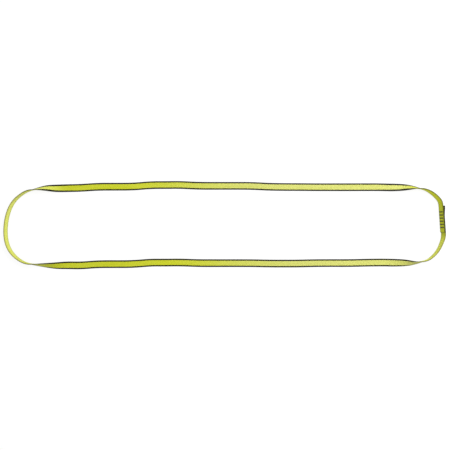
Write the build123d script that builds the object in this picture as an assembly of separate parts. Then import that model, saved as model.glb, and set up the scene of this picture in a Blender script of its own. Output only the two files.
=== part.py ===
"""Endless webbing sling: one length of flat webbing, its two ends lapped and bar-tacked.

Millimetres, +Z up. The sling lies on its floor plane z = 0 with the long axis along X:
two long runs lie flat, and the two end bights stand on edge.  The origin is the centre
of the sling's footprint, on the floor.

The webbing is one continuous length.  It is divided only where it folds: fold_left,
fold_middle and fold_right are each a pair of hinge lines with one link between
them, so that the web turns through a half circle when it is folded over.
"""
from build123d import *
from math import cos, radians, sin, sqrt
import os

# ---------------------------------------------------------------- driving dimensions
WEB_WIDTH = 19.0          # webbing width
WEB_THICK = 1.8           # webbing thickness
PLY_PITCH = 1.85          # centre to centre of the two plies in the lap
LAP_LENGTH = 65.242       # length of the sewn lap
LAP_TILT = 98.0           # degrees: the lap leans 8 degrees outwards

HINGES = {"left": 2, "middle": 2, "right": 2}    # hinge lines in each fold
LINK_END = 22.0           # link length in the two outer folds
LINK_MID = 50.0           # link length in the middle fold
ZONE_END = 34.2           # straight web across each outer fold
ZONE_MID = 79.8           # straight web across the middle fold
FOLD_AT = {"left": -270.0, "middle": 0.0, "right": 270.0}
FOLD_LINK = {"left": LINK_END, "middle": LINK_MID, "right": LINK_END}
FOLD_TOP_Y = {"left": 95.025, "middle": 97.125, "right": 93.725}
FOLD_BOTTOM_Y = {"left": -96.175, "middle": -93.775, "right": -93.575}
GAP = 0.3                 # clearance between two links at a hinge line
HINGE_Z = WEB_THICK + 0.15

TACKS = 6                 # bar tacks in the lap
TACK_PITCH = 7.66
TACK_FIRST = 12.25        # first tack from the inner ply's cut end
TACK_LENGTH = 15.4        # across the web
TACK_WIDTH = 2.6          # along the web
TACK_PROUD = 0.7          # height of the thread over the face
STITCHES = 5              # needle holes in one tack
NEEDLE_R = 0.50
THREAD_R = 0.45

LABEL_LENGTH = 56.0
LABEL_WIDTH = 14.2
LABEL_THICK = 0.35

# Centreline of the web in plan, as the control points of a clamped quadratic B-spline.
# Every route runs counter-clockwise seen from above.
ROUTE = {
    "left_bight": [
        (-287.1, 95.025), (-313.1, 95.025), (-355.213, 91.963), (-389.225, 91.416), (-416.146, 90.602), (-439.215, 91.504),
        (-459.827, 89.134), (-480.165, 84.849), (-498.657, 75.239), (-514.571, 61.915), (-525.768, 44.177), (-532.573, 24.593),
        (-536.377, 4.11), (-537.61, -16.568), (-535.876, -37.424), (-529.551, -57.163), (-517.654, -74.17), (-501.002, -87.179),
        (-481.83, -94.69), (-461.042, -96.996), (-438.631, -98.639), (-414.076, -99.671), (-387.843, -98.75), (-355.433, -99.739),
        (-313.1, -96.175), (-287.1, -96.175),
    ],
    "left_centre_top": [
        (-39.9, 97.125), (-65.9, 97.125), (-110.041, 99.567), (-146.409, 99.062), (-182.791, 99.043), (-226.9, 95.025),
        (-252.9, 95.025),
    ],
    "left_centre_bottom": [
        (-252.9, -96.175), (-226.9, -96.175), (-182.993, -92.224), (-146.367, -92.545), (-110.094, -91.966), (-65.9, -93.775),
        (-39.9, -93.775),
    ],
    "right_centre_top": [
        (252.9, 93.725), (226.9, 93.725), (182.693, 94.135), (146.39, 94.239), (110.029, 94.734), (65.9, 97.125),
        (39.9, 97.125),
    ],
    "right_centre_bottom": [
        (39.9, -93.775), (65.9, -93.775), (109.986, -94.78), (146.345, -94.839), (182.704, -94.731), (226.9, -93.575),
        (252.9, -93.575),
    ],
    "right_inner_ply": [
        (534.533, -17.775), (532.688, 10.164), (530.958, 36.349), (529.508, 58.301), (517.154, 71.71), (504.854, 81.188),
        (489.501, 87.891), (473.349, 91.101), (455.505, 93.02), (435.088, 92.947), (410.57, 93.104), (382.424, 93.786),
        (350.38, 93.857), (313.1, 93.725), (287.1, 93.725),
    ],
    "right_outer_ply": [
        (287.1, -93.575), (313.1, -93.575), (353.611, -92.495), (388.85, -92.158), (417.542, -92.657), (440.086, -92.624),
        (459.43, -93.214), (478.233, -90.708), (496.607, -86.42), (511.672, -75.727), (523.647, -61.771), (531.158, -45.598),
        (537.122, -28.628), (535.672, -6.676), (533.943, 19.509), (532.097, 47.448),
    ],
}
# Tilt of the web about its centreline, in degrees, by distance along the route:
# 0 lies flat with face A up, 90 stands on edge with face A outside.
TILT = {
    "left_bight": [
        (0, 0), (108.1, 0), (121, 8), (128.2, 16), (135.8, 24), (143.1, 33), (150.6, 41), (158.1, 51),
        (165.4, 61), (173, 70), (180.4, 79), (188.6, 87), (199.2, 92), (244.2, 93.5), (368.7, 93.5), (413.7, 92),
        (424.1, 88), (432.2, 82), (436.2, 78.6), (443.5, 72), (451.2, 65), (458.3, 59), (466.3, 52), (473.4, 46),
        (481.2, 39), (488.3, 32), (495.4, 26), (503.3, 20), (510.3, 14), (518.4, 8), (526.2, 3), (536.3, 0),
        (616.5, 0),
    ],
    "right_inner_ply": [
        (0, 98), (74.7, 98), (83.2, 99), (107.7, 98), (122.2, 93), (131.7, 86.5), (139.2, 80), (146.8, 71),
        (154.2, 60), (161.6, 49), (169, 39), (176.5, 30), (183.9, 22), (191.3, 16), (200.9, 8), (210.8, 0),
        (328.6, 0),
    ],
    "right_outer_ply": [
        (0, 0), (117.8, 0), (127.8, 6), (137.3, 13), (144.8, 18), (152.1, 25), (159.6, 33), (167.1, 43),
        (174.5, 56), (181.8, 66), (189.4, 74), (197, 81), (204.2, 85), (215.2, 88), (234.7, 90), (251.1, 90.5),
        (269.1, 93), (283.6, 98), (358.3, 98),
    ],
}


# ---------------------------------------------------------------- geometry of the web
def spline_points(control, count):
    """Points of a clamped uniform quadratic B-spline."""
    n = len(control)
    knots = [0.0, 0.0] + [float(i) for i in range(n - 1)] + [float(n - 2)] * 2
    out = []
    for i in range(count):
        u = min((n - 2) * i / (count - 1), n - 2 - 1e-9)
        k = int(u) + 2
        a, b, c = control[k - 2], control[k - 1], control[k]
        t0, t1, t2, t3 = knots[k - 1], knots[k], knots[k + 1], knots[k + 2]
        w1 = (u - t1) / (t2 - t1)
        wa = (u - t0) / (t2 - t0)
        wb = (u - t1) / (t3 - t1)
        p = [a[j] * (1 - wa) + b[j] * wa for j in (0, 1)]
        q = [b[j] * (1 - wb) + c[j] * wb for j in (0, 1)]
        out.append((p[0] * (1 - w1) + q[0] * w1, p[1] * (1 - w1) + q[1] * w1))
    out[-1] = tuple(control[-1])
    return out


def table_at(table, s):
    if s <= table[0][0]:
        return table[0][1]
    for (s0, v0), (s1, v1) in zip(table, table[1:]):
        if s <= s1:
            return v0 + (v1 - v0) * (s - s0) / (s1 - s0)
    return table[-1][1]


def tilt_at(name, s):
    """The tilt, smoothed over 18 mm of web."""
    if name not in TILT:
        return 0.0
    return sum(table_at(TILT[name], s - 9 + 1.5 * i) for i in range(13)) / 13


def centre_height(tilt):
    """Height of the web's centre when its lowest corner is on the floor."""
    a = radians(tilt)
    return WEB_WIDTH / 2 * sin(a) + WEB_THICK / 2 * abs(cos(a))


def section(point, direction, tilt):
    """The web's rectangular section: a closed wire of four corners."""
    a = radians(tilt)
    nx, ny = -direction[1], direction[0]          # horizontal, towards the inside
    wx, wy, wz = cos(a) * nx, cos(a) * ny, sin(a)         # outer edge to inner edge
    fx, fy, fz = -sin(a) * nx, -sin(a) * ny, cos(a)       # face B to face A
    c = (point[0], point[1], centre_height(tilt))
    corners = []
    for i, j in ((-1, -1), (1, -1), (1, 1), (-1, 1)):
        h, k = i * WEB_WIDTH / 2, j * WEB_THICK / 2
        corners.append((c[0] + wx * h + fx * k, c[1] + wy * h + fy * k, c[2] + wz * h + fz * k))
    return Wire.make_polygon(corners, close=True)


def stations(name, spacing, start=0.0, stop=None, before=None, after=None):
    """Point, direction and tilt along a route; before and after are straight additions."""
    fine = spline_points(ROUTE[name], 1500)
    at = [0.0]
    for p, q in zip(fine, fine[1:]):
        at.append(at[-1] + sqrt((q[0] - p[0]) ** 2 + (q[1] - p[1]) ** 2))
    stop = at[-1] if stop is None else stop
    count = max(2, round((stop - start) / spacing) + 1)
    found = []
    j = 0
    for i in range(count):
        s = start + (stop - start) * i / (count - 1)
        while j < len(at) - 2 and at[j + 1] < s:
            j += 1
        f = (s - at[j]) / (at[j + 1] - at[j])
        p = tuple(fine[j][m] * (1 - f) + fine[j + 1][m] * f for m in (0, 1))
        a, b = fine[max(j - 1, 0)], fine[min(j + 2, len(fine) - 1)]
        length = sqrt((b[0] - a[0]) ** 2 + (b[1] - a[1]) ** 2)
        d = ((b[0] - a[0]) / length, (b[1] - a[1]) / length)
        if i == 0 and (before or start):
            d = unit(ROUTE[name][0], ROUTE[name][1])
            p = (ROUTE[name][0][0] + d[0] * start, ROUTE[name][0][1] + d[1] * start)
        if i == count - 1 and (after or stop < at[-1]):
            d = unit(ROUTE[name][-2], ROUTE[name][-1])
            back = at[-1] - stop
            p = (ROUTE[name][-1][0] - d[0] * back, ROUTE[name][-1][1] - d[1] * back)
        if i == 0 and before:
            found.append(((p[0] - d[0] * before, p[1] - d[1] * before), d, tilt_at(name, s)))
        found.append((p, d, tilt_at(name, s)))
        if i == count - 1 and after:
            found.append(((p[0] + d[0] * after, p[1] + d[1] * after), d, tilt_at(name, s)))
    return found, at[-1]


def web(name, spacing, **ends):
    """The web along a route that tilts, as a ruled loft, and the route's length."""
    found, length = stations(name, spacing, **ends)
    return Solid.make_loft([section(p, d, t) for p, d, t in found], ruled=True), length


def flat_run(name, spacing, **ends):
    """The web along a route that lies flat, as an extruded outline, and the route's length."""
    found, length = stations(name, spacing, **ends)
    side = [
        [(p[0] - k * d[1] * WEB_WIDTH / 2, p[1] + k * d[0] * WEB_WIDTH / 2) for p, d, _ in found]
        for k in (-1, 1)
    ]
    outline = Wire.make_polygon([(x, y, 0) for x, y in side[0] + side[1][::-1]], close=True)
    solid = extrude(Face(outline), WEB_THICK, dir=(0, 0, 1))
    return solid.solid(), length


def unit(a, b):
    length = sqrt((b[0] - a[0]) ** 2 + (b[1] - a[1]) ** 2)
    return ((b[0] - a[0]) / length, (b[1] - a[1]) / length)


def flat_web(x0, x1, y):
    return Pos((x0 + x1) / 2, y, WEB_THICK / 2) * Box(x1 - x0, WEB_WIDTH, WEB_THICK)


def fold_lines(fold):
    s, n = FOLD_LINK[fold], HINGES[fold]
    return [FOLD_AT[fold] + (k - (n - 1) / 2) * s for k in range(n)]


# ---------------------------------------------------------------- the webbing
parts = {}
lengths = {}

# the straight stretch between a route's end and the first hinge line
end_add = (ZONE_END - LINK_END) / 2 - GAP / 2
mid_add = (ZONE_MID - LINK_MID) / 2 - GAP / 2

parts["webbing_left_bight"], lengths["left_bight"] = web("left_bight", 12.0, before=end_add, after=end_add)
parts["webbing_left_centre_top"], lengths["left_centre_top"] = flat_run("left_centre_top", 30.0, before=mid_add, after=end_add)
parts["webbing_left_centre_bottom"], lengths["left_centre_bottom"] = flat_run("left_centre_bottom", 30.0, before=end_add, after=mid_add)
parts["webbing_right_centre_top"], lengths["right_centre_top"] = flat_run("right_centre_top", 30.0, before=end_add, after=mid_add)
parts["webbing_right_centre_bottom"], lengths["right_centre_bottom"] = flat_run("right_centre_bottom", 30.0, before=mid_add, after=end_add)

for fold in FOLD_AT:
    xs = fold_lines(fold)
    for k in range(HINGES[fold] - 1):
        x0, x1 = xs[k] + GAP / 2, xs[k + 1] - GAP / 2
        parts[f"webbing_fold_{fold}_{k + 1}"] = Compound(
            children=[flat_web(x0, x1, FOLD_TOP_Y[fold]), flat_web(x0, x1, FOLD_BOTTOM_Y[fold])]
        )

# ---------------------------------------------------------------- the sewn lap
# Both plies are straight and parallel here.  The lap's own plane: X along the web from
# the inner ply's cut end, Y across it towards the upper edge, Z out of face A.
lap_start = ROUTE["right_inner_ply"][0]
lap_dir = unit(*ROUTE["right_inner_ply"][:2])
tilt = radians(LAP_TILT)
inward = (-lap_dir[1], lap_dir[0])
across = (cos(tilt) * inward[0], cos(tilt) * inward[1], sin(tilt))
outward = (-sin(tilt) * inward[0], -sin(tilt) * inward[1], cos(tilt))
lap = Plane(
    origin=(lap_start[0], lap_start[1], centre_height(LAP_TILT)),
    x_dir=(lap_dir[0], lap_dir[1], 0),
    z_dir=outward,
)
# the outer ply rests on the floor too, so it sits a little higher across the web
ply_rise = -PLY_PITCH * cos(tilt) / sin(tilt)
tack_at = [TACK_FIRST + TACK_PITCH * k for k in range(TACKS)]
stitch_at = [(i / (STITCHES - 1) - 0.5) * (TACK_LENGTH - TACK_WIDTH) for i in range(STITCHES)]

needle_holes = [
    lap * Pos(x, y + ply_rise / 2, PLY_PITCH / 2) * Cylinder(NEEDLE_R, 12)
    for x in tack_at
    for y in stitch_at
]

outer_end = ROUTE["right_outer_ply"][-1]
outer_dir = unit(*ROUTE["right_outer_ply"][-2:])
outer_plane = Plane(
    origin=(outer_end[0], outer_end[1], centre_height(LAP_TILT)),
    x_dir=(outer_dir[0], outer_dir[1], 0),
    z_dir=(sin(tilt) * outer_dir[1], -sin(tilt) * outer_dir[0], cos(tilt)),
)
inner_lap = lap * Pos(LAP_LENGTH / 2, 0, 0) * Box(LAP_LENGTH, WEB_WIDTH, WEB_THICK)
outer_lap = outer_plane * Pos(-LAP_LENGTH / 2, 0, 0) * Box(LAP_LENGTH, WEB_WIDTH, WEB_THICK)
inner_lap = inner_lap - needle_holes
outer_lap = outer_lap - needle_holes

bend, lengths["right_inner_ply"] = web("right_inner_ply", 11.0, start=LAP_LENGTH, after=end_add)
parts["webbing_right_inner_ply"] = (inner_lap + bend).solid()
total = sum(sqrt((q[0] - p[0]) ** 2 + (q[1] - p[1]) ** 2)
            for line in [spline_points(ROUTE["right_outer_ply"], 1500)] for p, q in zip(line, line[1:]))
bend, lengths["right_outer_ply"] = web("right_outer_ply", 11.0, stop=total - LAP_LENGTH, before=end_add)
parts["webbing_right_outer_ply"] = (outer_lap + bend).solid()

# blank identification label, sewn flat on the lap's outer face under the bar tacks
face_a = PLY_PITCH + WEB_THICK / 2
label_z = face_a + 0.02 + LABEL_THICK / 2
label = lap * Pos(tack_at[0] + (TACKS - 1) * TACK_PITCH / 2, ply_rise, label_z) * Box(LABEL_LENGTH, LABEL_WIDTH, LABEL_THICK)
parts["blank_label"] = (label - needle_holes).solid()

# bar tacks: thread over the inside face, through every layer, and over the label outside
outside = label_z + LABEL_THICK / 2 + 0.02
inside = -WEB_THICK / 2 - 0.02
for k, x in enumerate(tack_at):
    slot = SlotOverall(TACK_LENGTH, TACK_WIDTH, rotation=90)
    tack = lap * Pos(x, ply_rise / 2, outside) * extrude(slot, TACK_PROUD)
    tack += lap * Pos(x, ply_rise / 2, inside - TACK_PROUD) * extrude(slot, TACK_PROUD)
    for y in stitch_at:
        tack += lap * Pos(x, y + ply_rise / 2, (outside + inside) / 2) * Cylinder(THREAD_R, outside - inside + 0.4)
    parts[f"bar_tack_{k + 1}"] = tack.solid()

# ---------------------------------------------------------------- write the parts
os.makedirs("parts", exist_ok=True)
for name, shape in parts.items():
    shape.label = name
    export_step(shape, f"parts/{name}.step")

straight = 2 * (2 * ZONE_END + ZONE_MID)
web_length = sum(lengths.values()) + straight
print("webbing length %.1f mm, effective length %.1f mm" % (web_length, (web_length - LAP_LENGTH) / 2))
low = [min(tuple(p.bounding_box().min)[i] for p in parts.values()) for i in range(3)]
high = [max(tuple(p.bounding_box().max)[i] for p in parts.values()) for i in range(3)]
print("box", [round(v, 3) for v in low], [round(v, 3) for v in high])
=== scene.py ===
"""The looks of the endless webbing sling: woven web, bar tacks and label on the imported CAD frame."""
import math

import bpy
import numpy as np
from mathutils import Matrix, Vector


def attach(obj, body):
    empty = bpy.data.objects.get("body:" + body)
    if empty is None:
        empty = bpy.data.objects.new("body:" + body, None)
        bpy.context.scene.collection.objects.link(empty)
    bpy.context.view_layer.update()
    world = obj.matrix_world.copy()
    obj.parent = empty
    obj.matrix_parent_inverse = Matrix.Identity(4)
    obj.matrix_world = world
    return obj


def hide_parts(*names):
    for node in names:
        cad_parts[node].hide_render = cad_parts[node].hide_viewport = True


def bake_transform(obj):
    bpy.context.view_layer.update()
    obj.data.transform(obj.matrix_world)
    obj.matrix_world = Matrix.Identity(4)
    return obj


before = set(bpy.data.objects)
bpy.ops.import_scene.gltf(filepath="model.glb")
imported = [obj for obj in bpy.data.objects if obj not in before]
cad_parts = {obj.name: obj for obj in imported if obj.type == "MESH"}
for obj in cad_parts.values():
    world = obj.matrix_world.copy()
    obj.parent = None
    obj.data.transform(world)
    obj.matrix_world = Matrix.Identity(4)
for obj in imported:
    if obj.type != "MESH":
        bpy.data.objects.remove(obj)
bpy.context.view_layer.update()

# ------------------------------------------------------------------ dimensions, in metres
W, T = 0.019, 0.0018            # webbing width and thickness
PICK = 0.0019                   # one weft rib
STEP = PICK / 4                 # ring spacing of the web meshes
WARP = 0.00095                  # one warp column
BORDER = 0.0035                 # dark selvage stripe
PLY = 0.00185                   # centre to centre of the two plies in the lap
LAP = 0.065242
LAP_TILT = 98.0
# centre, half of the straight stretch, link length and bend radius of each fold
FOLDS = {
    "left": (-0.270, 0.0171, 0.022, 0.0060),
    "middle": (0.0, 0.0399, 0.050, 0.0110),
    "right": (0.270, 0.0171, 0.022, 0.0060),
}
SIDES = {"left": ("left_end", "left_centre"), "middle": ("left_centre", "right_centre"), "right": ("right_centre", "right_end")}
TOP_Y = {"left": 0.095025, "middle": 0.097125, "right": 0.093725}
BOTTOM_Y = {"left": -0.096175, "middle": -0.093775, "right": -0.093575}

# The routes are the ones the CAD model is built on: control points of clamped quadratic
# splines in plan, and the web's tilt by distance along them.
ROUTE = {
    "left_bight": [
        (-0.2871, 0.095025), (-0.3131, 0.095025), (-0.355213, 0.091963), (-0.389225, 0.091416), (-0.416146, 0.090602),
        (-0.439215, 0.091504), (-0.459827, 0.089134), (-0.480165, 0.084849), (-0.498657, 0.075239), (-0.514571, 0.061915),
        (-0.525768, 0.044177), (-0.532573, 0.024593), (-0.536377, 0.00411), (-0.53761, -0.016568), (-0.535876, -0.037424),
        (-0.529551, -0.057163), (-0.517654, -0.07417), (-0.501002, -0.087179), (-0.48183, -0.09469), (-0.461042, -0.096996),
        (-0.438631, -0.098639), (-0.414076, -0.099671), (-0.387843, -0.09875), (-0.355433, -0.099739), (-0.3131, -0.096175),
        (-0.2871, -0.096175),
    ],
    "left_centre_top": [
        (-0.0399, 0.097125), (-0.0659, 0.097125), (-0.110041, 0.099567), (-0.146409, 0.099062), (-0.182791, 0.099043),
        (-0.2269, 0.095025), (-0.2529, 0.095025),
    ],
    "left_centre_bottom": [
        (-0.2529, -0.096175), (-0.2269, -0.096175), (-0.182993, -0.092224), (-0.146367, -0.092545), (-0.110094, -0.091966),
        (-0.0659, -0.093775), (-0.0399, -0.093775),
    ],
    "right_centre_top": [
        (0.2529, 0.093725), (0.2269, 0.093725), (0.182693, 0.094135), (0.14639, 0.094239), (0.110029, 0.094734),
        (0.0659, 0.097125), (0.0399, 0.097125),
    ],
    "right_centre_bottom": [
        (0.0399, -0.093775), (0.0659, -0.093775), (0.109986, -0.09478), (0.146345, -0.094839), (0.182704, -0.094731),
        (0.2269, -0.093575), (0.2529, -0.093575),
    ],
    "right_inner_ply": [
        (0.534533, -0.017775), (0.532688, 0.010164), (0.530958, 0.036349), (0.529508, 0.058301), (0.517154, 0.07171),
        (0.504854, 0.081188), (0.489501, 0.087891), (0.473349, 0.091101), (0.455505, 0.09302), (0.435088, 0.092947),
        (0.41057, 0.093104), (0.382424, 0.093786), (0.35038, 0.093857), (0.3131, 0.093725), (0.2871, 0.093725),
    ],
    "right_outer_ply": [
        (0.2871, -0.093575), (0.3131, -0.093575), (0.353611, -0.092495), (0.38885, -0.092158), (0.417542, -0.092657),
        (0.440086, -0.092624), (0.45943, -0.093214), (0.478233, -0.090708), (0.496607, -0.08642), (0.511672, -0.075727),
        (0.523647, -0.061771), (0.531158, -0.045598), (0.537122, -0.028628), (0.535672, -0.006676), (0.533943, 0.019509),
        (0.532097, 0.047448),
    ],
}
TILT = {
    "left_bight": [
        (0, 0), (0.1081, 0), (0.121, 8), (0.1282, 16), (0.1358, 24), (0.1431, 33), (0.1506, 41),
        (0.1581, 51), (0.1654, 61), (0.173, 70), (0.1804, 79), (0.1886, 87), (0.1992, 92), (0.2442, 93.5),
        (0.3687, 93.5), (0.4137, 92), (0.4241, 88), (0.4322, 82), (0.4362, 78.6), (0.4435, 72), (0.4512, 65),
        (0.4583, 59), (0.4663, 52), (0.4734, 46), (0.4812, 39), (0.4883, 32), (0.4954, 26), (0.5033, 20),
        (0.5103, 14), (0.5184, 8), (0.5262, 3), (0.5363, 0), (0.6165, 0),
    ],
    "right_inner_ply": [
        (0, 98), (0.0747, 98), (0.0832, 99), (0.1077, 98), (0.1222, 93), (0.1317, 86.5), (0.1392, 80),
        (0.1468, 71), (0.1542, 60), (0.1616, 49), (0.169, 39), (0.1765, 30), (0.1839, 22), (0.1913, 16),
        (0.2009, 8), (0.2108, 0), (0.3286, 0),
    ],
    "right_outer_ply": [
        (0, 0), (0.1178, 0), (0.1278, 6), (0.1373, 13), (0.1448, 18), (0.1521, 25), (0.1596, 33),
        (0.1671, 43), (0.1745, 56), (0.1818, 66), (0.1894, 74), (0.197, 81), (0.2042, 85), (0.2152, 88),
        (0.2347, 90), (0.2511, 90.5), (0.2691, 93), (0.2836, 98), (0.3583, 98),
    ],
}


# ------------------------------------------------------------------ camera
cam = bpy.data.cameras.new("camera")
cam.sensor_width = 36.0
cam.lens = 39.2
cam.clip_start, cam.clip_end = 0.01, 50
cam_o = bpy.data.objects.new("camera", cam)
cam_o.location = (0.000833, 0.000425, 1.211)
bpy.context.scene.collection.objects.link(cam_o)
bpy.context.scene.camera = cam_o


# ------------------------------------------------------------------ centrelines
def line_of(name):
    """The route's smooth line, read from its NURBS spline."""
    points = ROUTE[name]
    data = bpy.data.curves.new("route_" + name, "CURVE")
    data.dimensions = "3D"
    data.resolution_u = 64
    s = data.splines.new("NURBS")
    s.points.add(len(points) - 1)
    for p, q in zip(s.points, points):
        p.co = (q[0], q[1], 0.0, 1.0)
    s.order_u = 3
    s.use_endpoint_u = True
    o = bpy.data.objects.new("route_" + name, data)
    bpy.context.scene.collection.objects.link(o)
    bpy.context.view_layer.update()
    mesh = bpy.data.meshes.new_from_object(o)
    line = np.array([v.co[:] for v in mesh.vertices])[:, :2]
    bpy.data.objects.remove(o)
    bpy.data.curves.remove(data)
    bpy.data.meshes.remove(mesh)
    return line


def along(line):
    return np.concatenate([[0.0], np.cumsum(np.linalg.norm(np.diff(line, axis=0), axis=1))])


def tilt_at(name, s):
    s = np.asarray(s, float)
    if name not in TILT:
        return np.zeros_like(s)
    xs, ys = zip(*TILT[name])
    return np.mean([np.interp(s - 0.009 + 0.0015 * i, xs, ys) for i in range(13)], axis=0)


LINES = {name: line_of(name) for name in ROUTE}
LENGTH = {name: float(along(LINES[name])[-1]) for name in ROUTE}

# where each stretch starts along the whole cut length, so that the weave runs on unbroken
START, at = {}, 0.0
for name in (
    "right_inner_ply", "fold:right:top", "right_centre_top", "fold:middle:top", "left_centre_top",
    "fold:left:top", "left_bight", "fold:left:bottom", "left_centre_bottom", "fold:middle:bottom",
    "right_centre_bottom", "fold:right:bottom", "right_outer_ply",
):
    START[name] = at
    at += 2 * FOLDS[name.split(":")[1]][1] if name.startswith("fold") else LENGTH[name]
WHOLE = at
# where the web stands on edge, seen from the camera, at each corner
TURNS = (
    START["right_inner_ply"] + 0.133, START["left_bight"] + 0.192,
    START["left_bight"] + 0.424, START["right_outer_ply"] + 0.196,
)


# ------------------------------------------------------------------ the web's section
def wander(x, seed, scale):
    """A slow, repeatable wander between -1 and 1."""
    r = np.random.default_rng(seed)
    phases, out = r.uniform(0, 2 * math.pi, 4), 0.0
    for k, p in enumerate(phases):
        out = out + np.sin(x * 2 * math.pi / (scale / (1 + 0.73 * k)) + p) / (1 + k)
    return out / 2.083


FACE_V = np.concatenate([
    -1 + 0.42 * np.array([0.035, 0.11, 0.25, 0.5, 0.75]), np.linspace(-0.5, 0.5, 11),
    (1 - 0.42 * np.array([0.035, 0.11, 0.25, 0.5, 0.75]))[::-1],
])
RING = np.array(
    [(v, 1.0) for v in FACE_V] + [(1.0, 0.5), (1.0, -0.5)] + [(v, -1.0) for v in FACE_V[::-1]] + [(-1.0, -0.5), (-1.0, 0.5)]
)


def rings(u, c, d, tilt):
    """Points of the web. u is the place along the cut length, c the plan centre, d the
    plan direction, tilt in degrees."""
    a = np.radians(tilt)
    n = np.stack([-d[:, 1], d[:, 0]], 1)
    zc = W / 2 * np.sin(a) + T / 2 * np.abs(np.cos(a))
    v, side = RING[:, 0], RING[:, 1]
    face = np.abs(side) > 0.9
    # half thickness across the web: a rounded selvage with a roll just inside it
    inset = np.clip((1 - np.abs(v)) / 0.075, 0, 1)
    half = T / 2 * (0.50 + 0.43 * np.sqrt(1 - (1 - inset) ** 2) + 0.055 * np.exp(-(((np.abs(v) - 0.90) / 0.05) ** 2)))
    # one rib at each pick of the weft, the two faces half a pick apart
    ph = 2 * math.pi * u[:, None] / PICK + np.where(side > 0, 0, math.pi)[None, :]
    rib = 0.00011 * np.cos(ph) * np.where(face, 1 - 0.6 * (np.abs(v) > 0.88), 0.3)[None, :]
    thick = np.where(face, side, 0.62 * side)[None, :] * half[None, :] + np.sign(side)[None, :] * (rib - 0.00006)
    # the width breathes a little, and each pick pulls the selvage in
    wide = W / 2 * (1.008 + 0.005 * wander(u, 5, 0.21))
    edge = (np.abs(v) > 0.93)[None, :]
    y = v[None, :] * wide[:, None] + np.sign(v)[None, :] * edge * 0.00009 * np.cos(2 * math.pi * u[:, None] / PICK)
    # a very slight hollow across the web where it is free to take one
    cup = 0.00016 * (1 + wander(u, 9, 0.31)) * np.clip(np.abs(np.sin(2 * a)) + 0.35, 0, 1)
    thick = thick + cup[:, None] * (v[None, :] ** 2 - 0.3)
    # and it curls across where it turns on edge into a bend, the edges outwards
    curl = sum(0.0021 * np.exp(-(((u - turn) / 0.022) ** 2)) for turn in TURNS)
    thick = thick + curl[:, None] * (v[None, :] ** 2 - 0.45)
    w3 = np.stack([np.cos(a) * n[:, 0], np.cos(a) * n[:, 1], np.sin(a)], 1)
    f3 = np.stack([-np.sin(a) * n[:, 0], -np.sin(a) * n[:, 1], np.cos(a)], 1)
    c3 = np.stack([c[:, 0], c[:, 1], zc], 1)
    return c3[:, None, :] + w3[:, None, :] * y[:, :, None] + f3[:, None, :] * thick[:, :, None]


def link_object(name, me):
    o = bpy.data.objects.new(name, me)
    bpy.context.scene.collection.objects.link(o)
    return o


def web_mesh(name, pts, u):
    """One closed mesh from rings of points; 'weave' holds each point's place along the
    web, across it, and its face."""
    count, m = pts.shape[:2]
    i, j = np.meshgrid(np.arange(count - 1), np.arange(m), indexing="ij")
    k = (j + 1) % m
    quads = np.stack([i * m + j, (i + 1) * m + j, (i + 1) * m + k, i * m + k], -1).reshape(-1, 4)
    me = bpy.data.meshes.new(name)
    faces = [tuple(q) for q in quads.tolist()]
    faces.append(tuple(range(m)))
    faces.append(tuple(reversed(range((count - 1) * m, count * m))))
    me.from_pydata(pts.reshape(-1, 3).tolist(), [], faces)
    me.polygons.foreach_set("use_smooth", [True] * len(me.polygons))
    v = RING[:, 0] * W / 2
    val = np.zeros((count, m, 3), np.float32)
    val[:, :, 0] = u[:, None]
    val[:, :, 1] = v[None, :]
    val[:, :, 2] = RING[None, :, 1]
    me.attributes.new("weave", "FLOAT_VECTOR", "POINT").data.foreach_set("vector", val.ravel())
    sharp = me.attributes.new("sharp_edge", "BOOLEAN", "EDGE")
    ends = np.zeros(len(me.edges), bool)
    pairs = np.zeros(len(me.edges) * 2, np.int32)
    me.edges.foreach_get("vertices", pairs)
    ring_of = pairs.reshape(-1, 2) // m
    ends[(ring_of[:, 0] == ring_of[:, 1]) & ((ring_of[:, 0] == 0) | (ring_of[:, 0] == count - 1))] = True
    sharp.data.foreach_set("value", ends)
    me.update()
    return link_object(name, me)


# the lap's own axes: along it from the inner ply's cut end, across it upwards, and outwards
p0, p1 = (np.array(p) for p in ROUTE["right_inner_ply"][:2])
lap_x = np.array([*(p1 - p0) / np.linalg.norm(p1 - p0), 0.0])
inward = np.array([-lap_x[1], lap_x[0], 0.0])
tilt = math.radians(LAP_TILT)
lap_y = math.cos(tilt) * inward + np.array([0, 0, math.sin(tilt)])
lap_z = -math.sin(tilt) * inward + np.array([0, 0, math.cos(tilt)])
lap_0 = np.array([p0[0], p0[1], W / 2 * math.sin(tilt) + T / 2 * abs(math.cos(tilt))])
RISE = -PLY * math.cos(tilt) / math.sin(tilt)


def lifted(x, y):
    """How far the outer ply's free end stands off, from the last bar tack to its cut end."""
    t = np.clip((x - (LAP - 0.026)) / 0.026, 0, 1)
    return math.tan(math.radians(7.0)) * t * t * (3 - 2 * t) * np.clip(y + W / 2 - RISE, 0, None)


def stretch(name):
    line = LINES[name]
    s = along(line)
    count = int(round(s[-1] / STEP)) + 1
    at = np.linspace(0, s[-1], count)
    c = np.stack([np.interp(at, s, line[:, 0]), np.interp(at, s, line[:, 1])], 1)
    d = np.gradient(c, axis=0)
    # smooth the direction a little, so that facets of the read line do not show
    pad = np.concatenate([np.repeat(d[:1], 4, 0), d, np.repeat(d[-1:], 4, 0)])
    d = sum(pad[q : q + len(c)] for q in range(9)) / 9
    d = d / np.linalg.norm(d, axis=1)[:, None]
    u = START[name] + at
    pts = rings(u, c, d, tilt_at(name, at))
    if name == "right_outer_ply":
        rel = pts - lap_0
        away = lifted(rel @ lap_x, rel @ lap_y) * (u > WHOLE - LAP)[:, None]
        pts = pts + away[:, :, None] * lap_z
    return web_mesh("web_" + name, pts, u)


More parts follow.
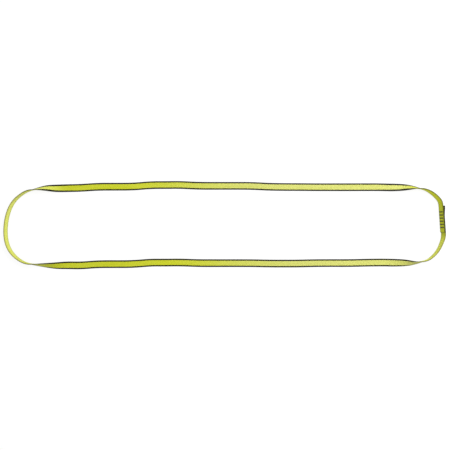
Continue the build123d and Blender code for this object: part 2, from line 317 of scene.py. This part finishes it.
def zone(fold, side, x0, x1, name):
    """Straight flat web across half of a fold, from x0 to x1 along the route."""
    centre, half = FOLDS[fold][:2]
    count = int(round(abs(x1 - x0) / STEP)) + 1
    x = np.linspace(x0, x1, count)
    y = (TOP_Y if side == "top" else BOTTOM_Y)[fold]
    sign = -1.0 if side == "top" else 1.0
    c = np.stack([x, np.full(count, y)], 1)
    d = np.tile([sign, 0.0], (count, 1))
    begin = centre + half if side == "top" else centre - half
    u = START["fold:%s:%s" % (fold, side)] + np.abs(x - begin)
    return web_mesh(name, rings(u, c, d, np.zeros(count)), u)


# ------------------------------------------------------------------ materials
def material(name):
    m = bpy.data.materials.new(name)
    m.use_nodes = True
    nt = m.node_tree
    nt.nodes.clear()
    out = nt.nodes.new("ShaderNodeOutputMaterial")
    bsdf = nt.nodes.new("ShaderNodeBsdfPrincipled")
    nt.links.new(bsdf.outputs[0], out.inputs[0])
    return m, nt, bsdf


class Nodes:
    """Short ways to lay down the nodes of one material."""

    def __init__(self, nt):
        self.nt = nt

    def new(self, kind, **sockets):
        n = self.nt.nodes.new(kind)
        for key, value in sockets.items():
            self.put(n.inputs[key], value)
        return n

    def put(self, socket, value):
        if isinstance(value, bpy.types.NodeSocket):
            self.nt.links.new(value, socket)
        else:
            socket.default_value = value

    def math(self, op, a, b=0.0, clamp=False):
        n = self.nt.nodes.new("ShaderNodeMath")
        n.operation = op
        n.use_clamp = clamp
        self.put(n.inputs[0], a)
        self.put(n.inputs[1], b)
        return n.outputs[0]

    def step(self, x, lo, hi, to_lo=0.0, to_hi=1.0):
        n = self.nt.nodes.new("ShaderNodeMapRange")
        n.interpolation_type = "SMOOTHSTEP"
        for key, value in zip(range(5), (x, lo, hi, to_lo, to_hi)):
            self.put(n.inputs[key], value)
        return n.outputs[0]

    def mix(self, factor, a, b, blend="MIX"):
        n = self.nt.nodes.new("ShaderNodeMix")
        n.data_type = "RGBA"
        n.blend_type = blend
        for key, value in ((0, factor), (6, a), (7, b)):
            self.put(n.inputs[key], (*value, 1.0) if isinstance(value, tuple) else value)
        return n.outputs[2]

    def noise(self, vector, scale, detail=2.0, rough=0.5):
        n = self.nt.nodes.new("ShaderNodeTexNoise")
        self.put(n.inputs["Vector"], vector)
        n.inputs["Scale"].default_value = scale
        n.inputs["Detail"].default_value = detail
        n.inputs["Roughness"].default_value = rough
        return n.outputs["Fac"]

    def combine(self, x, y, z):
        n = self.nt.nodes.new("ShaderNodeCombineXYZ")
        for key, value in zip(range(3), (x, y, z)):
            self.put(n.inputs[key], value)
        return n.outputs[0]


LIME = (0.345, 0.368, 0.0085)
LIME_PALE = (0.375, 0.392, 0.0200)
LIME_DEEP = (0.280, 0.300, 0.0050)
# painted sheen: a paler lime standing in for the lamp's sheen
LIME_PAINTED_SHEEN = (0.385, 0.390, 0.1200)
# painted light: lime lit by the lamp
LIME_PAINTED_LIT_LEFT = (0.605, 0.630, 0.1350)
# painted shade: a deeper lime for faces turned from the lamp
LIME_PAINTED_SHADE = (0.385, 0.425, 0.0030)
# painted light: a brighter lime for the upper-right bend
LIME_PAINTED_LIT_BEND = (0.510, 0.540, 0.0060)
# painted light: a paler lime for the lower-right bend
LIME_PAINTED_LIT_LOWER = (0.560, 0.590, 0.0750)
# painted light: olive for the dark edge where the lamp catches it
OLIVE = (0.230, 0.216, 0.0300)
# painted light: a pale olive for the lower stripe washed by the floor's light
OLIVE_PAINTED_WASH = (0.360, 0.360, 0.1200)
DARK = (0.0060, 0.0052, 0.0010)
DARK_WORN = (0.040, 0.034, 0.010)


def web_material():
    m, nt, bsdf = material("web_lime_dark_selvage")
    k = Nodes(nt)
    attr = nt.nodes.new("ShaderNodeAttribute")
    attr.attribute_type = "GEOMETRY"
    attr.attribute_name = "weave"
    sep = k.new("ShaderNodeSeparateXYZ", Vector=attr.outputs["Vector"])
    u, v, side = sep.outputs
    av = k.math("ABSOLUTE", v)
    # a little unevenness in the yarns' paths
    jitter = k.noise(k.combine(k.math("MULTIPLY", u, 90.0), k.math("MULTIPLY", v, 700.0), side), 1.0, 1.0)
    ju = k.math("ADD", u, k.math("MULTIPLY", k.math("SUBTRACT", jitter, 0.5), 0.00045))
    # warp columns, and their floats over each weft pick, bricked from column to column
    warp = k.math("SINE", k.math("MULTIPLY", v, math.pi / WARP))
    pick = k.math("COSINE", k.math("ADD", k.math("MULTIPLY", ju, 2 * math.pi / PICK), k.math("MULTIPLY", side, math.pi / 2)))
    round_ = k.math("POWER", k.math("ABSOLUTE", warp), 0.55)
    brick = k.math("MULTIPLY", warp, pick)
    height = k.math("ADD", k.math("MULTIPLY", round_, 0.55), k.math("MULTIPLY", brick, 0.38))
    # the twist of the filaments in each yarn
    strands = k.math("SINE", k.math("ADD", k.math("MULTIPLY", v, 2 * math.pi / 0.00019), k.math("MULTIPLY", u, 2 * math.pi / 0.0013)))
    fuzz = k.noise(k.combine(k.math("MULTIPLY", u, 2600.0), k.math("MULTIPLY", v, 5200.0), side), 1.0, 3.0, 0.6)
    relief = k.math("ADD", height, k.math("ADD", k.math("MULTIPLY", strands, 0.05), k.math("MULTIPLY", fuzz, 0.22)))
    bump = nt.nodes.new("ShaderNodeBump")
    bump.inputs["Strength"].default_value = 0.85
    bump.inputs["Distance"].default_value = 0.00016
    nt.links.new(relief, bump.inputs["Height"])
    nt.links.new(bump.outputs[0], bsdf.inputs["Normal"])

    # colour: yarn lots, painted light and shade in slow bands along the web, painted shade in the grooves of the weave
    lot = k.noise(k.combine(k.math("MULTIPLY", u, 14.0), k.math("MULTIPLY", v, 60.0), side), 1.0, 2.0)
    column = k.noise(k.combine(k.math("MULTIPLY", u, 6.0), k.math("MULTIPLY", v, 1100.0), side), 1.0, 1.0)
    lime = k.mix(k.step(lot, 0.30, 0.72), LIME, LIME_PALE)
    # painted sheen: the web is painted paler along one half of the loop, a painted highlight standing in for the lamp's
    # sheen there
    painted_sheen = k.math("MAXIMUM", k.math("MULTIPLY", k.step(u, 0.12, 0.19), k.step(u, 0.86, 0.50)), k.math("MULTIPLY", k.step(u, 1.66, 2.00), k.step(u, 2.37, 2.26)))
    lime = k.mix(k.math("MULTIPLY", painted_sheen, 0.92), lime, LIME_PAINTED_SHEEN)
    # painted light: the standing left bend is painted lighter, where it faces the lamp
    light = k.math("MULTIPLY", k.step(u, 1.00, 1.07), k.step(u, 1.40, 1.28))
    lime = k.mix(k.math("MULTIPLY", light, 0.85), lime, LIME_PAINTED_LIT_LEFT)
    # painted shade: the lap and its standing end are painted a deeper, unveiled lime, where they face away from the
    # lamp
    painted_shade = k.math("MAXIMUM", k.step(u, 0.15, 0.08), k.step(u, 2.35, 2.42))
    lime = k.mix(k.math("MULTIPLY", painted_shade, 0.8), lime, LIME_PAINTED_SHADE)
    # painted light: the standing right end and upper-right bend are painted a brighter lime
    painted_lit_bend = k.math("MULTIPLY", k.step(u, 0.066, 0.085), k.step(u, 0.170, 0.140))
    lime = k.mix(k.math("MULTIPLY", painted_lit_bend, 0.8), lime, LIME_PAINTED_LIT_BEND)
    # painted light: the lower-right bend is painted paler, where it faces the lamp
    painted_lit_lower = k.math("MULTIPLY", k.step(u, 2.27, 2.31), k.step(u, 2.386, 2.360))
    lime = k.mix(k.math("MULTIPLY", painted_lit_lower, 0.8), lime, LIME_PAINTED_LIT_LOWER)
    lime = k.mix(k.math("MULTIPLY", k.step(column, 0.45, 0.75), 0.45), lime, LIME_DEEP)
    # painted shade: the grooves of the weave are painted deeper lime
    groove = k.step(height, 0.42, 0.05)
    lime = k.mix(k.math("MULTIPLY", groove, 0.55), lime, LIME_DEEP)
    # scuffs: paler, broken fibres on the tops of the yarns
    scuff = k.math("MULTIPLY", k.step(k.noise(k.combine(k.math("MULTIPLY", u, 55.0), k.math("MULTIPLY", v, 190.0), side), 1.0, 4.0, 0.7), 0.60, 0.74), k.step(height, 0.55, 0.9))
    lime = k.mix(k.math("MULTIPLY", scuff, 0.35), lime, (0.47, 0.47, 0.16))

    dark = k.mix(k.math("MULTIPLY", k.step(fuzz, 0.45, 0.75), 0.35), DARK, (0.022, 0.020, 0.006))
    # the stripe shows full on the face; on the back it is painted pale, a painted wash of bounced light on the dark
    # stripe, full only on the lap's outer ply, with a darker line kept along the very edge
    face = k.step(side, -0.3, 0.3)
    inner = W / 2 - BORDER
    wavy = k.math("ADD", av, k.math("MULTIPLY", k.math("SUBTRACT", jitter, 0.5), 0.00025))
    # the stripe runs a little wider where the web twists
    for middle, extra in ((0.190, 0.0005), (0.150, 0.0011), (1.035, 0.0006), (1.070, 0.0010)):
        near = k.step(k.math("ABSOLUTE", k.math("SUBTRACT", u, middle)), 0.050, 0.015, 0.0, extra)
        wavy = k.math("ADD", wavy, near)
    stripe = k.step(wavy, inner - 0.00007, inner + 0.00007)
    back_line = k.step(wavy, W / 2 - 0.0010, W / 2 - 0.0004)
    behind = k.step(u, WHOLE - LAP - 0.004, WHOLE - LAP + 0.004, 0.24, 1.0)
    back_stripe_painted_pale = k.math("MAXIMUM", k.math("MULTIPLY", stripe, behind), k.math("MULTIPLY", back_line, 0.75))
    amount = k.math("ADD", k.math("MULTIPLY", stripe, face), k.math("MULTIPLY", back_stripe_painted_pale, k.math("SUBTRACT", 1.0, face)))
    colour = k.mix(amount, lime, dark)
    # wear along the very edge: broken filaments catch the light
    edge = k.step(av, W / 2 - 0.0006, W / 2 - 0.0001)
    worn = k.math("MULTIPLY", edge, k.step(k.noise(k.combine(k.math("MULTIPLY", u, 160.0), k.math("MULTIPLY", v, 90.0), side), 1.0, 3.0, 0.65), 0.35, 0.75))
    colour = k.mix(k.math("MULTIPLY", worn, 0.35), colour, DARK_WORN)
    # painted light: the upper edge is painted a lighter olive round the two open bends that face the lamp
    painted_lit_edge = k.math("MAXIMUM", k.math("MULTIPLY", k.step(u, 1.100, 1.130), k.step(u, 1.315, 1.285)), k.math("MULTIPLY", k.step(u, 2.300, 2.320), k.step(u, 2.386, 2.375)))
    rim = k.math("MULTIPLY", k.step(v, W / 2 - 0.0011, W / 2 - 0.0007), k.step(side, 0.95, 0.60))
    colour = k.mix(k.math("MULTIPLY", k.math("MULTIPLY", painted_lit_edge, rim), 0.75), colour, OLIVE)
    # painted light: the lower stripe is painted pale olive just before each corner, a painted wash of the floor's
    # bounced light on the dark stripe
    for turn, reach, share in ((0.140, 0.050, 0.20), (1.085, 0.050, 0.15), (1.335, 0.050, 0.35), (2.285, 0.045, 0.70)):
        near = k.step(k.math("ABSOLUTE", k.math("SUBTRACT", u, turn)), reach, 0.010, 0.0, share)
        pale = k.math("MULTIPLY", k.math("MULTIPLY", near, k.step(v, -0.004, -0.006)), amount)
        colour = k.mix(pale, colour, OLIVE_PAINTED_WASH)
    # the two cut ends are sealed with heat
    seal = k.math("MAXIMUM", k.step(u, 0.0012, 0.0005), k.step(u, WHOLE - 0.0012, WHOLE - 0.0005))
    colour = k.mix(k.math("MULTIPLY", seal, 0.85), colour, (0.030, 0.026, 0.006))
    nt.links.new(colour, bsdf.inputs["Base Color"])
    rough = k.math("ADD", k.math("MULTIPLY", groove, 0.14), k.step(fuzz, 0.2, 0.8, 0.46, 0.62))
    rough = k.math("SUBTRACT", rough, k.math("MULTIPLY", seal, 0.22))
    nt.links.new(rough, bsdf.inputs["Roughness"])
    bsdf.inputs["Specular IOR Level"].default_value = 0.13
    bsdf.inputs["Sheen Weight"].default_value = 0.02
    bsdf.inputs["Sheen Roughness"].default_value = 0.45
    bsdf.inputs["Sheen Tint"].default_value = (0.95, 1.0, 0.70, 1.0)
    return m


def thread_material():
    m, nt, bsdf = material("bar_tack_thread")
    k = Nodes(nt)
    attr = nt.nodes.new("ShaderNodeAttribute")
    attr.attribute_type = "GEOMETRY"
    attr.attribute_name = "thread"
    sep = k.new("ShaderNodeSeparateXYZ", Vector=attr.outputs["Vector"])
    s, q, tag = sep.outputs
    ply = k.math("SINE", k.math("ADD", k.math("MULTIPLY", s, 2 * math.pi / 0.00042), k.math("MULTIPLY", q, 2 * math.pi * 3)))
    fuzz = k.noise(k.combine(k.math("MULTIPLY", s, 4000.0), k.math("MULTIPLY", q, 6.0), tag), 1.0, 3.0, 0.6)
    bump = nt.nodes.new("ShaderNodeBump")
    bump.inputs["Strength"].default_value = 0.8
    bump.inputs["Distance"].default_value = 0.00005
    nt.links.new(k.math("ADD", ply, k.math("MULTIPLY", fuzz, 0.8)), bump.inputs["Height"])
    nt.links.new(bump.outputs[0], bsdf.inputs["Normal"])
    colour = k.mix(k.step(ply, -0.9, 0.6), (0.012, 0.010, 0.002), (0.046, 0.040, 0.007))
    colour = k.mix(k.math("MULTIPLY", k.step(fuzz, 0.5, 0.8), 0.5), colour, (0.085, 0.078, 0.018))
    nt.links.new(colour, bsdf.inputs["Base Color"])
    nt.links.new(k.step(fuzz, 0.2, 0.8, 0.35, 0.6), bsdf.inputs["Roughness"])
    bsdf.inputs["Specular IOR Level"].default_value = 0.4
    bsdf.inputs["Sheen Weight"].default_value = 0.1
    bsdf.inputs["Sheen Roughness"].default_value = 0.4
    return m


def label_material():
    m, nt, bsdf = material("label_blank_woven")
    k = Nodes(nt)
    attr = nt.nodes.new("ShaderNodeAttribute")
    attr.attribute_type = "GEOMETRY"
    attr.attribute_name = "cloth"
    sep = k.new("ShaderNodeSeparateXYZ", Vector=attr.outputs["Vector"])
    x, y, z = sep.outputs
    a = k.math("SINE", k.math("MULTIPLY", x, 2 * math.pi / 0.00042))
    b = k.math("SINE", k.math("MULTIPLY", y, 2 * math.pi / 0.00042))
    weave = k.math("MULTIPLY", a, b)
    fuzz = k.noise(k.combine(k.math("MULTIPLY", x, 900.0), k.math("MULTIPLY", y, 900.0), z), 1.0, 4.0, 0.6)
    bump = nt.nodes.new("ShaderNodeBump")
    bump.inputs["Strength"].default_value = 0.6
    bump.inputs["Distance"].default_value = 0.00006
    nt.links.new(k.math("ADD", weave, fuzz), bump.inputs["Height"])
    nt.links.new(bump.outputs[0], bsdf.inputs["Normal"])
    colour = k.mix(k.step(weave, -0.8, 0.6), (0.50, 0.50, 0.46), (0.66, 0.66, 0.62))
    dirt = k.noise(k.combine(k.math("MULTIPLY", x, 60.0), k.math("MULTIPLY", y, 110.0), z), 1.0, 4.0, 0.65)
    colour = k.mix(k.math("MULTIPLY", k.step(dirt, 0.5, 0.78), 0.35), colour, (0.36, 0.34, 0.27))
    rim = k.math("MAXIMUM", k.step(k.math("ABSOLUTE", y), 0.0064, 0.0070), k.step(k.math("ABSOLUTE", x), 0.0271, 0.0278))
    colour = k.mix(k.math("MULTIPLY", rim, 0.45), colour, (0.30, 0.29, 0.24))
    nt.links.new(colour, bsdf.inputs["Base Color"])
    nt.links.new(k.step(fuzz, 0.2, 0.8, 0.62, 0.8), bsdf.inputs["Roughness"])
    bsdf.inputs["Specular IOR Level"].default_value = 0.3
    bsdf.inputs["Sheen Weight"].default_value = 0.2
    return m


def floor_material():
    m, nt, bsdf = material("floor_pale")
    bsdf.inputs["Base Color"].default_value = (0.10, 0.10, 0.10, 1)
    bsdf.inputs["Roughness"].default_value = 0.9
    bsdf.inputs["Specular IOR Level"].default_value = 0.1
    bsdf.inputs["Emission Color"].default_value = (1, 1, 1, 1)
    bsdf.inputs["Emission Strength"].default_value = FLOOR_GLOW
    return m


FLOOR_GLOW = 0.87
web_mat, thread_mat, label_mat = web_material(), thread_material(), label_material()

# ------------------------------------------------------------------ the webbing
BODY = {
    "left_bight": "left_end", "left_centre_top": "left_centre", "left_centre_bottom": "left_centre",
    "right_centre_top": "right_centre", "right_centre_bottom": "right_centre",
    "right_inner_ply": "right_end", "right_outer_ply": "right_end",
}
for name, body in BODY.items():
    o = stretch(name)
    o.data.materials.append(web_mat)
    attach(o, body)
    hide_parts("webbing_" + name)

for fold, (centre, half, link, radius) in FOLDS.items():
    west, east = SIDES[fold]
    middle = "fold_%s_link_1" % fold
    for side in ("top", "bottom"):
        y = (TOP_Y if side == "top" else BOTTOM_Y)[fold]
        for part, lo, hi, a, b, hinge in (
            ("west", centre - half, centre, west, middle, centre - link / 2),
            ("east", centre, centre + half, middle, east, centre + link / 2),
        ):
            x0, x1 = (hi, lo) if side == "top" else (lo, hi)
            o = zone(fold, side, x0, x1, "web_fold_%s_%s_%s" % (fold, side, part))
            o.data.materials.append(web_mat)
            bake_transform(o)
            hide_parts("webbing_fold_%s_1" % fold)

def lap_points(p):
    """Points in the lap's axes, lifted with the outer ply where they lie outside it."""
    p = np.array(p, float)
    p[..., 2] += lifted(p[..., 0], p[..., 1]) * (p[..., 2] > PLY)
    return lap_0 + p[..., :1] * lap_x + p[..., 1:2] * lap_y + p[..., 2:3] * lap_z


# ------------------------------------------------------------------ bar tacks
TACK_AT = [0.01225 + 0.00766 * i for i in range(6)]
TACK_L, TACK_W = 0.0154, 0.0026
LABEL = (0.056, 0.0142, 0.00035)
OUT_Z = PLY + T / 2 + 0.00004 + LABEL[2]
IN_Z = -T / 2 - 0.00002


def tube(points, radius, sides=8, tag=0.0, s0=0.0):
    """A closed tube along lap-space points: vertices, faces and thread coordinates."""
    p = np.asarray(points, float)
    d = np.gradient(p, axis=0)
    d /= np.linalg.norm(d, axis=1)[:, None] + 1e-12
    up = np.array([0.0, 0.0, 1.0])
    a = np.cross(d, up)
    bad = np.linalg.norm(a, axis=1) < 0.2
    a[bad] = np.cross(d[bad], [0.0, 1.0, 0.0])
    a /= np.linalg.norm(a, axis=1)[:, None]
    b = np.cross(a, d)
    t = np.arange(sides) * 2 * math.pi / sides
    r = np.full(len(p), radius)
    r[0] = r[-1] = radius * 0.45
    ring = p[:, None, :] + r[:, None, None] * (np.cos(t)[None, :, None] * a[:, None, :] + np.sin(t)[None, :, None] * b[:, None, :])
    s = s0 + np.concatenate([[0.0], np.cumsum(np.linalg.norm(np.diff(p, axis=0), axis=1))])
    coords = np.zeros((len(p), sides, 3))
    coords[:, :, 0], coords[:, :, 1], coords[:, :, 2] = s[:, None], (np.arange(sides) / sides)[None, :], tag
    faces = []
    for i in range(len(p) - 1):
        for j in range(sides):
            q = (j + 1) % sides
            faces.append((i * sides + j, i * sides + q, (i + 1) * sides + q, (i + 1) * sides + j))
    faces.append(tuple(reversed(range(sides))))
    faces.append(tuple(range((len(p) - 1) * sides, len(p) * sides)))
    return ring.reshape(-1, 3), faces, coords.reshape(-1, 3)


def sewn(name, tubes, mat):
    verts, faces, coords, base = [], [], [], 0
    for v, f, c in tubes:
        verts.append(v)
        coords.append(c)
        faces += [tuple(base + i for i in q) for q in f]
        base += len(v)
    me = bpy.data.meshes.new(name)
    me.from_pydata(lap_points(np.concatenate(verts)).tolist(), [], faces)
    me.polygons.foreach_set("use_smooth", [True] * len(me.polygons))
    me.attributes.new("thread", "FLOAT_VECTOR", "POINT").data.foreach_set("vector", np.concatenate(coords).astype(np.float32).ravel())
    me.materials.append(mat)
    me.update()
    return link_object(name, me)


rng = np.random.default_rng(41)
tacks = []
for k, x in enumerate(TACK_AT):
    tubes = []
    for face, z, sign in ((0, OUT_Z, 1.0), (1, IN_Z, -1.0)):
        yc = RISE / 2
        # the long stitches laid first, along the bar
        for i in range(6):
            dx = (i - 2.5) * 0.00038
            ys = np.linspace(-TACK_L / 2 + 0.0004, TACK_L / 2 - 0.0004, 12)
            pts = [(x + dx + rng.uniform(-1, 1) * 0.00002, yc + y, z + sign * 0.00012) for y in ys]
            tubes.append(tube(pts, 0.00017, 6, tag=k + 0.1 * i))
        # the zigzag wrapped over them
        turns = 34
        pts = []
        for i in range(turns + 1):
            y = yc + (i / turns - 0.5) * (TACK_L - 0.0006)
            end = (TACK_W / 2 - 0.00012) * (1 if i % 2 else -1) * (1 + rng.uniform(-0.07, 0.07))
            nxt = (TACK_W / 2 - 0.00012) * (-1 if i % 2 else 1)
            pts.append((x + end, y, z + sign * 0.00006))
            if i < turns:
                dy = (TACK_L - 0.0006) / turns
                for f, h in ((0.12, 0.30), (0.3, 0.46), (0.5, 0.50), (0.7, 0.46), (0.88, 0.30)):
                    pts.append((x + end + (nxt - end) * f, y + dy * f, z + sign * h * 0.001))
        tubes.append(tube(pts, 0.00021, 7, tag=k + 0.7 + face))
    # the thread through the layers
    for i in range(5):
        y = RISE / 2 + (i / 4 - 0.5) * (TACK_L - TACK_W)
        tubes.append(tube([(x, y, z) for z in np.linspace(IN_Z, OUT_Z, 6)], 0.0004, 8, tag=k + 0.9))
    o = sewn("bar_tack_thread_%d" % (k + 1), tubes, thread_mat)
    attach(o, "right_end")
    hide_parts("bar_tack_%d" % (k + 1))
    tacks.append(o)

# ------------------------------------------------------------------ the blank label
cx = sum(TACK_AT) / len(TACK_AT)
nx, ny = 112, 30
xs = np.linspace(-LABEL[0] / 2, LABEL[0] / 2, nx)
ys = np.linspace(-LABEL[1] / 2, LABEL[1] / 2, ny)
X, Y = np.meshgrid(xs, ys, indexing="ij")
# pulled down under each bar tack, lifting a little between them and at the corners
pull = np.zeros_like(X)
for x in TACK_AT:
    pull = np.maximum(pull, np.exp(-(((X + cx - x) / 0.0011) ** 2)) * (np.abs(Y) < TACK_L / 2))
lift = 0.00010 * (1 - pull) + 0.00016 * np.clip(np.abs(X) / (LABEL[0] / 2) - 0.86, 0, 1) / 0.14 * np.abs(Y) / (LABEL[1] / 2)
corner = np.clip((np.abs(X) - (LABEL[0] / 2 - 0.0012)) / 0.0012, 0, 1) * np.clip((np.abs(Y) - (LABEL[1] / 2 - 0.0012)) / 0.0012, 0, 1)
top = np.stack([cx + X * (1 - 0.012 * corner), RISE + Y * (1 - 0.05 * corner), PLY + T / 2 + 0.00002 + LABEL[2] + lift], -1)
low = top.copy()
low[..., 2] -= LABEL[2]
idx = np.arange(nx * ny).reshape(nx, ny)
faces = []
for i in range(nx - 1):
    for j in range(ny - 1):
        a, b, c, d = int(idx[i, j]), int(idx[i + 1, j]), int(idx[i + 1, j + 1]), int(idx[i, j + 1])
        faces.append((a, b, c, d))
        n = nx * ny
        faces.append((n + d, n + c, n + b, n + a))
rim = list(idx[:, 0]) + list(idx[-1, 1:]) + list(idx[-2::-1, -1]) + list(idx[0, -2:0:-1])
rim = [int(r) for r in rim]
for a, b in zip(rim, rim[1:] + rim[:1]):
    faces.append((b, a, nx * ny + a, nx * ny + b))
me = bpy.data.meshes.new("label_blank")
me.from_pydata(lap_points(np.concatenate([top.reshape(-1, 3), low.reshape(-1, 3)])).tolist(), [], faces)
me.polygons.foreach_set("use_smooth", [True] * len(me.polygons))
cl = np.zeros((2, nx, ny, 3), np.float32)
cl[:, :, :, 0], cl[:, :, :, 1] = X, Y
cl[1, :, :, 2] = 1.0
me.attributes.new("cloth", "FLOAT_VECTOR", "POINT").data.foreach_set("vector", cl.ravel())
me.materials.append(label_mat)
me.update()
label = link_object("label_blank", me)
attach(label, "right_end")
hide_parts("blank_label")

# a running stitch round the label's edge
tubes = []
for y in (-LABEL[1] / 2 + 0.0009, LABEL[1] / 2 - 0.0009):
    x = -LABEL[0] / 2 + 0.0012
    while x < LABEL[0] / 2 - 0.0022:
        if all(abs(cx + x + 0.0009 - t) > 0.0018 for t in TACK_AT):
            pts = [(cx + x + 0.0017 * f, RISE + y, PLY + T / 2 + LABEL[2] + 0.00013 + 0.00013 * math.sin(math.pi * f)) for f in (0, 0.15, 0.35, 0.5, 0.65, 0.85, 1)]
            tubes.append(tube(pts, 0.00012, 6, tag=x * 1000))
        x += 0.0024
stitches = sewn("label_edge_stitches", tubes, thread_mat)
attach(stitches, "right_end")

# ------------------------------------------------------------------ floor, lights
floor_me = bpy.data.meshes.new("floor")
n = 12
fx = np.linspace(-6, 6, n + 1)
floor_me.from_pydata([(float(a), float(b), -0.00006) for a in fx for b in fx], [],
                     [(i * (n + 1) + j, (i + 1) * (n + 1) + j, (i + 1) * (n + 1) + j + 1, i * (n + 1) + j + 1) for i in range(n) for j in range(n)])
floor = link_object("floor", floor_me)
floor_me.materials.append(floor_material())

world = bpy.data.worlds.new("studio")
world.use_nodes = True
bg = world.node_tree.nodes["Background"]
bg.inputs[0].default_value = (1.0, 1.0, 1.0, 1.0)
bg.inputs[1].default_value = 0.80
bpy.context.scene.world = world


def area(name, place, target, size, power, colour=(1, 1, 1)):
    l = bpy.data.lights.new(name, "AREA")
    l.shape = "RECTANGLE"
    l.size, l.size_y = size
    l.energy = power
    l.color = colour
    o = bpy.data.objects.new(name, l)
    o.location = place
    o.rotation_euler = (Vector(target) - Vector(place)).to_track_quat("-Z", "Y").to_euler()
    bpy.context.scene.collection.objects.link(o)


area("key", (0.60, 0.72, 1.25), (0.10, 0.0, 0.0), (0.9, 0.9), 26.0)
area("side", (0.95, -0.10, 1.10), (0.30, 0.0, 0.0), (0.6, 0.6), 6.0)
area("fill", (-1.2, -0.3, 1.8), (0.0, 0.0, 0.0), (1.4, 1.4), 9.0)

bpy.context.scene.view_settings.view_transform = "Standard"
bpy.context.scene.view_settings.look = "None"

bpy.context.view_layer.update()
